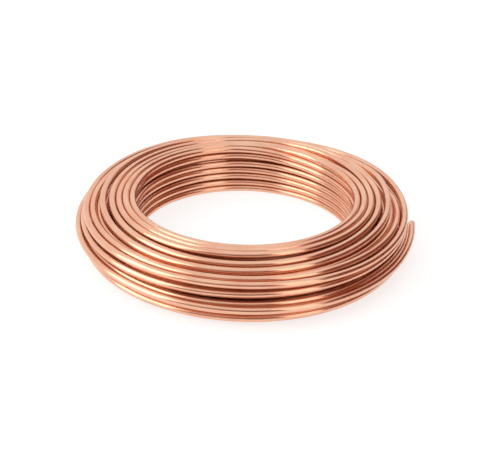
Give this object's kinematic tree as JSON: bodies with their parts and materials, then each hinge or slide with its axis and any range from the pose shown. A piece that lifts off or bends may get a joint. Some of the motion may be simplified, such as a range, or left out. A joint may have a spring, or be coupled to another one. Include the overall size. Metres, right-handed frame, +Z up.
{
  "type": "copper tube coil",
  "caption": "Flat-lying coil of plain round soft copper tube, wound in layers round an open eye with a free cut end, drawn off and cut to length as pipe stock.",
  "frame": {"origin": "on the coil's axis, at the floor that it lies on", "axes": "+Z up along the coil's axis; +X from the axis towards the free outer end; the free end points along +Y"},
  "size_m": [0.3297, 0.3258, 0.0529],
  "materials": {
    "copper": "bright drawn and annealed copper"
  },
  "bodies": {
    "root": {"tube_coil": "copper"}
  },
  "joints": []
}
